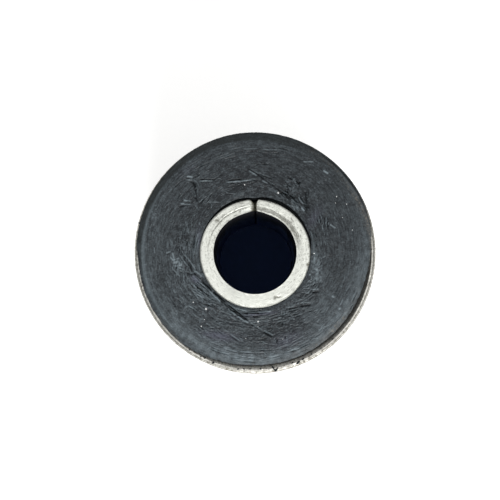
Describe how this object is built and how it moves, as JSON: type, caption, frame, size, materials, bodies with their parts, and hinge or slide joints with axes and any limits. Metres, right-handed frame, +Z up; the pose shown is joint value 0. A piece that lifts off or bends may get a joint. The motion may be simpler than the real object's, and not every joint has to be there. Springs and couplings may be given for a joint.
{
  "type": "rubber metal bush",
  "caption": "Round vibration-damping bush: a split steel sleeve bonded inside a thick rubber ring, which fills a steel tube pressed into its housing.",
  "frame": {"origin": "centre of the bush at the lower end of its inner sleeve", "axes": "+Z up the bore, the sleeve's seam towards +Y"},
  "size_m": [0.035, 0.035, 0.04],
  "materials": {
    "inner_sleeve": "turned end, zinc-grey, lightly stained",
    "rubber_body": "trimmed end face with turning marks, scratches and a grey bloom",
    "outer_sleeve": "plain drawn tube, dull and lightly stained"
  },
  "bodies": {
    "root": {"inner_sleeve": "inner_sleeve", "rubber_body": "rubber_body", "outer_sleeve": "outer_sleeve"}
  },
  "joints": []
}
